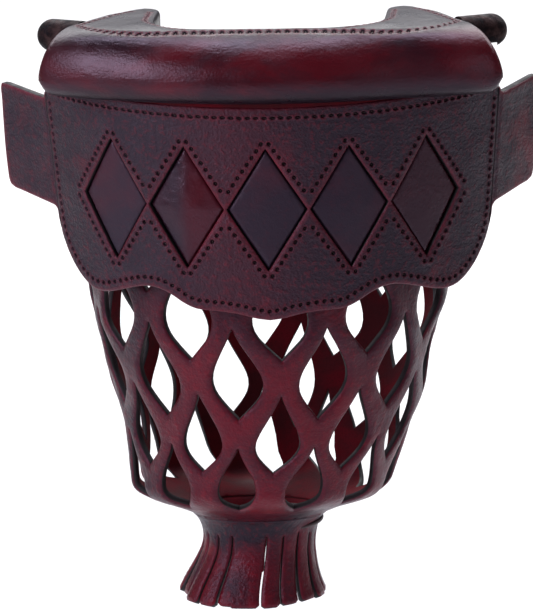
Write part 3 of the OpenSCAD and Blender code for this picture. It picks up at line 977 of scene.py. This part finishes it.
def make_backing(front, edge, flesh):
    """The leather behind the shield, which swells out in the diamonds."""
    low = spaced(shifted(shield_line(), 2.2), 2.2)
    right_top = np.array(fan(SPLIT_S - 1.5, SHIELD_TOP - 1.2))
    top = spaced(np.array([right_top, right_top * (-1, 1)]), 2.4)
    outline = np.concatenate([low, top])
    base = filling((-116, -50), (116, 46), 2.0, outline, [], 1.2)
    rings = np.concatenate([diamond_loop(i, g) for i in MIDDLE_OUT for g in (0.0, -0.9, -2.0)])
    points, faces = flat_mesh(outline, [], np.concatenate([base, rings]))
    depth = np.full(len(points), SHIELD_T + 0.02)
    glow = np.zeros(len(points))
    gloss = np.zeros(len(points))
    swell = {-2: (2.3, 0.1), -1: (2.0, 2.0), 0: (2.6, 0.1), 1: (2.4, 0.6), 2: (2.0, 0.3)}
    for i, (lift, dome) in swell.items():
        loop = diamond_loop(i)
        shown = inside(points, loop)
        gap = distance(points[shown], [loop])
        depth[shown] -= lift * smooth(-0.3, 1.3, gap) + dome * smooth(0, 14, gap)
        across = (points[shown, 0] - i * DIAMOND_W) / (DIAMOND_W / 2)
        if i == -1:
            glow[shown] = 0.7 * smooth(-0.25, 0.25, across)
            gloss[shown] = 1.0
        elif i == 2:
            glow[shown] = 0.3
            gloss[shown] = 1.5
    values = {"glow": glow, "gloss": gloss}
    return shell("shield_inlays", points, faces, cone_place, depth, SHIELD_T + BACKING_T,
                 (front, edge, flesh), values)


def inlay_leather():
    """The diamonds' smoother leather, from satin purple-black to glossy deep red."""
    n = Nodes("inlay_leather")
    cloud = n.noise(34.0, 4.0, 0.6, 0.5)
    worn = n.math("MULTIPLY", n.between(cloud, 0.4, 0.75), 0.25)
    worn = n.plus(worn, n.between(n.noise(500.0), 0.5, 0.75), 0.12)
    worn = n.math("ADD", worn, n.attribute("glow"), clamp=True)
    colour = n.mix(worn, rgb(34, 22, 36), rgb(98, 2, 18))
    colour = n.mix(n.math("MULTIPLY", n.attribute("gloss"), 0.35), colour, rgb(10, 3, 7))
    n.set("Base Color", colour)
    satin = n.between(n.noise(70.0), 0.35, 0.7, 0.42, 0.56)
    n.set("Roughness", n.math("SUBTRACT", satin, n.math("MULTIPLY", n.attribute("gloss"), 0.16)))
    n.set("Specular Tint", GLEAM_TINT)
    normal = n.bump(n.cells(1000.0), 0.22, 0.0002)
    normal = n.bump(n.noise(300.0, 5.0, 0.65, 0.8), 0.4, 0.0006, normal)
    n.set("Normal", normal)
    return n.material


# ---------- wings ----------
def wing_place(side):
    """Maps a flat wing, u out from the bend line and v up, to its place."""
    sign = 1 if side == "right" else -1
    final = WING_ANGLES[side]
    us = np.linspace(-6, 34, 401)
    angles = BEND_ANGLE + (final - BEND_ANGLE) * smooth(-1.6, 1.6, us)
    step = us[1] - us[0]
    xs = np.cumsum(np.cos(angles)) * step
    ys = np.cumsum(np.sin(angles)) * step
    zero = np.interp(0, us, xs), np.interp(0, us, ys)
    base = BEND_R * math.sin(BEND_ANGLE), SHIELD_R - BEND_R * math.cos(BEND_ANGLE)

    def place(flat, depth):
        u, v = flat[:, 0], flat[:, 1]
        w = SHIELD_T / 2 - depth
        out = -math.cos(FLARE) * w - math.sin(FLARE) * v
        z = math.cos(FLARE) * v - math.sin(FLARE) * w
        a = np.interp(u, us, angles)
        x = base[0] + np.interp(u, us, xs) - zero[0] - np.sin(a) * out
        y = base[1] + np.interp(u, us, ys) - zero[1] + np.cos(a) * out
        lumps = rough(np.column_stack([flat, 0 * u]), 14.0, 8.0)
        warp = smooth(3, 30, u) * (0.5 * np.sin(v / 9.0) + 0.3 * lumps)
        return np.column_stack([sign * (x + np.sin(a) * warp), y - np.cos(a) * warp, z])

    return place


def make_wing(side, front, edge, flesh):
    cut = SPLIT_S - BEND_S
    marks = [(cut, -17.2), (-1.4, -12), (-1.0, -8.5), (0.6, -6.4), (27.5, -1.2), (30.4, 0.4), (31, 3),
             (31, 45.5), (30, 48.2), (27.5, 48.3), (1.2, 44.4), (-0.6, 45.0), (-1.0, SHIELD_TOP),
             (cut, SHIELD_TOP)]
    free = spaced(marks, 1.4)
    seam = spaced([marks[-1], marks[0]], 1.6)
    outline = np.concatenate([free[:-1], seam[:-1]])
    base = filling((-3, -18), (31, 49), 1.7, outline, [], 1.1)
    fold = np.array([(u, v) for u in (-1.8, -1.0, -0.3, 0.4, 1.1, 1.9) for v in np.arange(-5, 44, 1.6)])
    near = shifted(free, 0.7)
    near = near[inside(near, outline)]
    points, faces = flat_mesh(outline, [], np.concatenate([base, fold, near]))
    from_edge = distance(points, [free], closed=False)
    depth = rounded(from_edge, 0.5, 0.8) + 0.35 * bell(points[:, 0] + 1.2, 0.9)
    values = {
        "edge": 0.5 * bell(from_edge - 0.4, 0.7),
        "pit": np.zeros(len(points)),
        "glow": 0.3 * bell(from_edge, 2.5) + 0.1 * bell(points[:, 0], 3.0),
    }
    if side == "left":
        faces = faces[:, ::-1]
    return shell(f"{side}_wing_leaf", points, faces, wing_place(side), depth, SHIELD_T,
                 (front, edge, flesh), values)


# ---------- net ----------
class Profile:
    """A smooth section line of the net, by distance from its top."""

    def __init__(self, marks):
        self.line = cut_corners(marks, 3)
        self.s = lengths(self.line)
        self.slope = np.gradient(self.line, self.s, axis=0)

    def at(self, s):
        radius = np.interp(s, self.s, self.line[:, 0])
        z = np.interp(s, self.s, self.line[:, 1])
        dr = np.interp(s, self.s, self.slope[:, 0])
        dz = np.interp(s, self.s, self.slope[:, 1])
        size = np.hypot(dr, dz)
        return radius, z, -dz / size, dr / size

    def down_to(self, z):
        return float(np.interp(-z, -self.line[:, 1], self.s))


def sag(points):
    """The net hangs a little twisted and to the left, and no two cells are the same."""
    x, y = points[:, 0] - NET_X, points[:, 1] - NET_Y
    twist = FAR_TWIST * smooth(0.25, 1.0, (1 - np.cos(np.arctan2(x, -y))) / 2)
    twist = twist * smooth(48, 20, points[:, 2]) * smooth(-160, -140, points[:, 2])
    c, s = np.cos(twist), np.sin(twist)
    points[:, 0] = NET_X + x * c - y * s
    points[:, 1] = NET_Y + x * s + y * c
    low = smooth(-90, -170, points[:, 2])
    points[:, 0] -= 6.3 * low
    hang = smooth(40, -60, points[:, 2]) * smooth(-168, -150, points[:, 2])
    far = smooth(0.3, 0.9, (1 + y / np.hypot(x, y)) / 2)
    points[:, 0] += (1.4 + 3.5 * far) * rough(points, 32.0, 21.0) * hang
    points[:, 2] += (1.4 + 3.5 * far) * rough(points, 36.0, 22.0) * hang
    tip = smooth(-110, -150, points[:, 2]) * smooth(-186, -160, points[:, 2])
    points[:, 2] += 0.1 * (NET_Y - points[:, 1]) * tip
    return points


def net_place(profile):
    def place(flat, depth):
        radius, z, out_r, out_z = profile.at(flat[:, 1])
        angle = flat[:, 0]
        radius = radius - depth * out_r
        points = np.column_stack([NET_X + radius * np.sin(angle), NET_Y - radius * np.cos(angle),
                                  z - depth * out_z])
        return sag(points)

    return place


def slit_half_width(t, bulge):
    """Half width of an opening at t from -1 at its lower tip to 1 at its upper, with pointed ends."""
    t = np.clip(t + bulge * (1 - t * t) * 1.6, -1, 1)
    return 0.5 * (0.62 * (1 - t * t) + 0.38 * np.cos(t * math.pi / 2) ** 2)


def slit_loop(profile, row_marks, centre):
    """One opening as (angle, distance down the profile)."""
    top_z, low_z, width, _, bulge = row_marks
    top, low = profile.down_to(top_z), profile.down_to(low_z)
    ts = np.sin(np.linspace(-math.pi / 2, math.pi / 2, 25))
    s = low + (top - low) * (ts + 1) / 2
    radius = profile.at(s)[0]
    half = width * slit_half_width(ts, bulge) / radius
    right = np.column_stack([centre + half, s])
    left = np.column_stack([centre - half, s])
    return np.concatenate([right, left[-2:0:-1]])


def net_cell(profile):
    """Triangles of one cell of the net, with its whole and half openings."""
    wide = 2 * math.pi / CELLS
    total = profile.down_to(NECK_LINE)
    size = 70.0
    wholes = [slit_loop(profile, m, 0.0) for m in SLIT_ROWS if m[3] == 0.0]
    cuts = sorted((profile.down_to(m[0]), profile.down_to(m[1]), m) for m in SLIT_ROWS if m[3] > 0)
    side = []
    s = 0.0
    for top, low, marks in cuts:
        side += [(wide / 2, v) for v in np.linspace(s, top, max(2, round((top - s) / 1.8) + 1))]
        loop = slit_loop(profile, marks, wide / 2)
        left = loop[loop[:, 0] < wide / 2 - 1e-6]
        left = left[np.argsort(left[:, 1])]
        side += [tuple(p) for p in left]
        s = low
    side += [(wide / 2, v) for v in np.linspace(s, total, max(2, round((total - s) / 1.8) + 1))]
    side = np.array(side)
    bottom = [(a, total) for a in np.linspace(wide / 2, -wide / 2, 11)[1:-1]]
    top = [(a, 0.0) for a in np.linspace(-wide / 2, wide / 2, 23)[1:-1]]
    outline = np.concatenate([side, bottom, (side * (-1, 1))[::-1], top])
    scale = np.array((size, 1.0))
    outline, wholes = outline * scale, [w * scale for w in wholes]
    half = wide / 2 * size
    base = filling((-half, 1), (half, total - 1), 1.9, outline, wholes, 1.25)
    rims = []
    for loop in [outline, *wholes]:
        for by in (0.75, -0.75):
            moved = shifted(np.concatenate([loop, loop[:1]]), by)
            rims.append(moved[within(moved, outline, wholes)])
    rims = np.concatenate(rims)
    rims = rims[distance(rims, [outline, *wholes]) > 0.6]
    points, faces = flat_mesh(outline, wholes, np.concatenate([base, rims]))
    return points / scale, faces, wide


def ring_of_cells(points, faces, wide, count):
    """Copies of a cell round the full circle, welded side to side."""
    every = np.concatenate([points + (i * wide, 0) for i in range(count)])
    every_faces = np.concatenate([faces + i * len(points) for i in range(count)])
    key = {}
    renamed = np.arange(len(every))
    for i, (a, s) in enumerate(every):
        turn = round(((a + wide / 2) % (2 * math.pi)) * 1e4) % round(2 * math.pi * 1e4)
        name = (turn, round(s * 1e3))
        renamed[i] = key.setdefault(name, i)
    return welded(every, every_faces, renamed)


def rim_distance(points, faces, solid):
    """Distance in millimetres of each point from the nearest free edge of a sheet."""
    rim = sorted({i for e in rim_of(faces) for i in e})
    best = np.full(len(points), 1e9)
    targets = solid[rim]
    for start in range(0, len(points), 2000):
        block = solid[start:start + 2000]
        gap = ((block[:, None, :] - targets[None, :, :]) ** 2).sum(axis=2)
        best[start:start + 2000] = np.sqrt(gap.min(axis=1))
    return best


def make_net(front, edge, flesh):
    profile = Profile(NET_PROFILE)
    points, faces, wide = net_cell(profile)
    points, faces = ring_of_cells(points, faces, wide, CELLS)
    points = points + (PHASE, 0)
    faces = faces[:, ::-1]
    place = net_place(profile)
    solid = place(points, np.zeros(len(points)))
    gap = rim_distance(points, faces, solid)
    total = profile.down_to(NECK_LINE)
    whole = (points[:, 1] > total - 0.01) | (points[:, 1] < 0.01)
    gap = np.where(whole, 9.0, gap)
    depth = rounded(gap, 0.5, 0.85) + rounded(gap, 0.7, 3.6, 2)
    depth += 0.3 * rough(solid, 8.0, 31.0) * smooth(0.5, 3, gap)
    x, z = solid[:, 0], solid[:, 2]
    # painted sheen: the lower middle front of the net is made redder
    front_sheen = smooth(-30, -90, z) * smooth(80, 30, np.abs(x + 2)) * smooth(-162, -146, z)
    # worn adds random red tone to the painted sheen
    worn = np.clip(0.6 * front_sheen + 0.35 * rough(solid, 24.0, 33.0) + 0.1, 0, 0.9)
    values = {
        "edge": 0.3 * bell(gap - 0.4, 0.6),
        "pit": np.zeros(len(points)),
        # painted shading of the rounded straps: glow is fuller along their middles and weaker towards the
        # cut edges
        "glow": worn * (0.45 + 0.55 * smooth(0.5, 3.5, gap)),
    }
    return shell("net_hide", points, faces, place, depth, NET_T, (front, edge, flesh), values)


# ---------- neck and fringe ----------
def fringe_place(profile, root, lean):
    wide = 2 * math.pi / STRIPS

    def place(flat, depth):
        radius, z, out_r, out_z = profile.at(flat[:, 1])
        below = np.clip(flat[:, 1] - root, 0, None)
        strip = np.floor((flat[:, 0] - PHASE) / wide)
        middle = PHASE + (strip + 0.5) * wide
        out, aside = np.array(lean)[strip.astype(int) % STRIPS].T
        out = out * (below / 30.0) ** 1.3
        aside = aside * (below / 30.0) ** 1.2
        narrow = 1 - 0.05 * smooth(0, 20, below)
        angle = np.where(below > 0, middle + (flat[:, 0] - middle) * narrow, flat[:, 0])
        angle = angle + aside / radius
        radius = radius + out - depth * out_r
        points = np.column_stack([NET_X + radius * np.sin(angle), NET_Y - radius * np.cos(angle),
                                  z - depth * out_z])
        points = sag(points)
        points[:, 0] -= 4.4 * smooth(root, root + 32, flat[:, 1])
        return points

    return place


def make_fringe(front, edge, flesh):
    marks = NET_PROFILE + [(28.6, -186.0), (32.0, -195.0), (36.0, TIP_Z - 2)]
    profile = Profile(marks)
    start = profile.down_to(NECK_LINE)
    root = profile.down_to(ROOT_Z)
    end = profile.down_to(TIP_Z)
    tops = [root + 1.0 * hashed(i, 61.0) + 0.6 * (i % 2) for i in range(STRIPS)]
    tips = [end + 1.3 * hashed(i, 62.0) for i in range(STRIPS)]
    lean = [(1.6 * hashed(i, 63.0), 1.5 * hashed(i, 64.0)) for i in range(STRIPS)]
    wide = 2 * math.pi / STRIPS
    size = 28.0
    cut = 0.4 / size
    # the comb starts and ends in the middle of a strip
    half = wide / 2
    outline = [(-half, v) for v in np.linspace(start, tips[0] - 0.01, 22)]
    outline += [(x, tips[0] - 0.01) for x in np.linspace(-half, half - cut - 0.05, 4)[1:]]
    for i in range(STRIPS):
        right = half + i * wide
        low = tips[i]
        nxt = tips[(i + 1) % STRIPS]
        high = tops[i]
        outline += [(right - cut, v) for v in np.linspace(low - 1.2, high + 1.5, 14)]
        outline += [(right - 0.5 * cut, high + 0.3), (right + 0.5 * cut, high + 0.3)]
        outline += [(right + cut, v) for v in np.linspace(high + 1.5, nxt - 1.2, 14)]
        if i < STRIPS - 1:
            outline += [(right + x, nxt) for x in np.linspace(cut + 0.05, wide - cut - 0.05, 5)]
    seam_x = (STRIPS - 0.5) * wide
    outline = [p for p in outline if p[0] < seam_x - 0.02]
    outline += [(x, tips[0] - 0.01) for x in np.linspace(seam_x - half + cut + 0.05, seam_x, 4)[:-1]]
    outline += [(seam_x, v) for v in np.linspace(tips[0] - 0.01, start, 22)]
    outline += [(x, start) for x in np.linspace(seam_x, -half, 131)[1:-1]]
    scale = np.array((size, 1.0))
    outline = np.array(outline) * scale
    base = filling((-half * size, start), (seam_x * size, end + 3), 1.5, outline, [], 0.9)
    near = shifted(outline, 0.6)
    near = near[inside(near, outline)]
    near = near[distance(near, [outline]) > 0.45]
    points, faces = flat_mesh(outline, [], np.concatenate([base, near]))
    points = points / scale
    points, faces = welded(points, faces, seam_weld(points, 0, -half, seam_x, 3))
    points = points + (PHASE + half, 0)
    place = fringe_place(profile, root, lean)
    solid = place(points, np.zeros(len(points)))
    if cell_direction(solid, faces) < 0:
        faces = faces[:, ::-1]
    gap = rim_distance(points, faces, solid)
    gap = np.where(points[:, 1] < start + 0.01, 9.0, gap)
    depth = rounded(gap, 0.55, 0.7)
    worn = 0.55 * rough(solid, 15.0, 71.0) + 0.5 * smooth(-166, -180, solid[:, 2])
    values = {
        "edge": 0.4 * bell(gap - 0.4, 0.6),
        "pit": np.zeros(len(points)),
        "glow": np.clip(worn, 0, 0.9),
    }
    return shell("neck_and_fringe", points, faces, place, depth, NET_T - 0.3, (front, edge, flesh), values)


def cell_direction(solid, faces):
    """Positive if the faces of a ring round the net look outwards."""
    a, b, c = solid[faces[:, 0]], solid[faces[:, 1]], solid[faces[:, 2]]
    normal = np.cross(b - a, c - a)
    out = (a + b + c) / 3 - (NET_X, NET_Y, 0)
    return float((normal[:, :2] * out[:, :2]).sum())


# ---------- camera, lights, stage ----------
def make_camera():
    """Two metres in front, 12 degrees above and 4 to the right."""
    distance_back = 2.0
    elevation, azimuth, roll = math.radians(12), math.radians(3.93), math.radians(1.28)
    back = Vector((math.sin(azimuth) * math.cos(elevation), -math.cos(azimuth) * math.cos(elevation),
                   math.sin(elevation)))
    right = Vector((math.cos(azimuth), math.sin(azimuth), 0))
    up = back.cross(right)
    x_axis = right * math.cos(roll) - up * math.sin(roll)
    y_axis = right * math.sin(roll) + up * math.cos(roll)
    target = Vector(row([(-1.1, 0, -43.9)])[0])
    place = target + back * distance_back
    camera = bpy.data.objects.new("camera", bpy.data.cameras.new("camera"))
    camera.data.sensor_width = 36
    camera.data.lens = 261.9
    camera.data.clip_start = 0.1
    turn = Matrix((x_axis, y_axis, back)).transposed().to_4x4()
    camera.matrix_world = Matrix.Translation(place) @ turn
    bpy.context.scene.collection.objects.link(camera)
    bpy.context.scene.camera = camera


def make_light(name, place, size, power, colour, aim=(0, 0, -0.1)):
    light = bpy.data.lights.new(name, "AREA")
    light.shape = "RECTANGLE"
    light.size, light.size_y = size
    light.energy = power
    light.color = colour
    lamp = bpy.data.objects.new(name, light)
    lamp.location = place
    lamp.rotation_euler = (Vector(aim) - Vector(place)).to_track_quat("-Z", "Y").to_euler()
    bpy.context.scene.collection.objects.link(lamp)


def make_stage():
    """A wide pale floor, soft lights and a dim pale sky."""
    floor_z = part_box("fringe")[0].z - 0.35
    half = 20.0
    corners = [(x * half, y * half, floor_z) for x, y in ((-1, -1), (1, -1), (1, 1), (-1, 1))]
    mesh = bpy.data.meshes.new("floor")
    mesh.from_pydata(corners, [], [(0, 1, 2, 3)])
    mesh.materials.append(stage_material())
    floor = bpy.data.objects.new("floor", mesh)
    bpy.context.scene.collection.objects.link(floor)
    world = bpy.data.worlds.new("sky")
    world.use_nodes = True
    sky = world.node_tree.nodes["Background"].inputs
    sky["Color"].default_value = (0.9, 0.88, 1.0, 1)
    sky["Strength"].default_value = 0.12
    bpy.context.scene.world = world
    make_light("overhead", (-0.1, 0.45, 1.35), (1.5, 0.5), 13, (0.9, 0.84, 1.0))
    make_light("key_left", (-1.3, -1.0, 0.55), (0.9, 1.2), 18, (0.93, 0.87, 1.0))
    make_light("fill_right", (1.5, -1.2, 0.3), (0.8, 1.2), 2.2, (1.0, 0.93, 1.0))
    make_light("floor_wash", (0, 3.2, 1.9), (6.0, 3.6), 210, (1, 1, 1), (0, 3.2, -1))
    make_light("rim", (0, 3.4, 1.0), (4.0, 1.0), 7, (0.9, 0.92, 1.0))


# ---------- assembly ----------
def paint_node(name, material):
    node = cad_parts[name]
    node.data.materials.clear()
    node.data.materials.append(material)


def paint_cad_nodes(flesh, thread):
    iron, brass = iron_material(), brass_material()
    paint_node("pocket_iron", iron)
    # painted shade: the rivets get the darkened brass, for the shadow in the gap under the pad
    paint_node("shield_rivets", brass)
    paint_node("net_rivets", brass)
    paint_node("shield_hanger", flesh)
    paint_node("neck_lace", thread)


def set_wing(piece, side):
    sign = 1 if side == "right" else -1
    line = Vector(row([(sign * 100.0, 53.25, 19.0)])[0])
    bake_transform(piece)
    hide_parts(f"{side}_wing")


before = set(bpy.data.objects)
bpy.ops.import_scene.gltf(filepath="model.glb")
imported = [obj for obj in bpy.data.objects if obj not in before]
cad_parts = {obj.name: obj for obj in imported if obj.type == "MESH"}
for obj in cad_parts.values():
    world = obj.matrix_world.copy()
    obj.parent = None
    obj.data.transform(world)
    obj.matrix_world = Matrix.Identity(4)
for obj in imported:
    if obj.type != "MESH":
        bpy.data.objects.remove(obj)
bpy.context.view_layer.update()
LAYOUT_ZERO = np.array((0.0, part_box("roll_leather")[0].y + 0.016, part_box("top_leather")[1].z - 0.080))
SEAM_HALF = seam_half()
THROAT_HALF = throat_half()
bpy.context.scene.view_settings.view_transform = "Standard"
make_camera()
make_stage()

EDGE = edge_leather()
FLESH = flesh_leather()
THREAD = thread_material()
SHIELD_LEATHER = leather("shield_leather", amount=0.35)
NET_LEATHER = leather("net_leather", amount=0.42, rough_low=0.32, rough_high=0.46, gleam=0.36,
                      grain=0.4, lump=40.0)
paint_cad_nodes(FLESH, THREAD)

pad, pad_holes = make_pad(pad_leather())
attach(pad, "pocket")
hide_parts("roll_leather", "top_leather", "throat_liner", "underside_leather",
            "left_end_leather", "right_end_leather", "felt_wrap")


def pad_top_place(flat, depth):
    return pad_place(pad_find(flat), depth)


pad_thread = stitch_mesh("pad_stitches", pad_holes, pad_top_place, THREAD, 1.15)
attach(pad_thread, "pocket")
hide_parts("stitching_front", "stitching_ends", "stitching_throat")

shield, shield_holes = make_shield(SHIELD_LEATHER, EDGE, FLESH)
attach(shield, "pocket")
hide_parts("shield_front")

inlays = make_backing(inlay_leather(), EDGE, FLESH)
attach(inlays, "pocket")
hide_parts("shield_backing")

shield_thread = stitch_mesh("shield_stitches", shield_holes, cone_place, THREAD, 1.05, 0.36)
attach(shield_thread, "pocket")
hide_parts("stitching_shield_top", "stitching_border", "stitching_diamonds")

left_wing = make_wing("left", SHIELD_LEATHER, EDGE, FLESH)
right_wing = make_wing("right", SHIELD_LEATHER, EDGE, FLESH)
set_wing(left_wing, "left")
set_wing(right_wing, "right")

net = make_net(NET_LEATHER, EDGE, FLESH)
net_axis = row([(NET_X, NET_Y, -30.0), (NET_X, NET_Y, -62.0)])
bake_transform(net)
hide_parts("net_band", "net_straps", "net_basket")

fringe = make_fringe(NET_LEATHER, EDGE, FLESH)
fringe_axis = row([(NET_X, NET_Y, -170.0), (NET_X, NET_Y, -182.0)])
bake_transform(fringe)
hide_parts("net_neck", "fringe_roots", "fringe")
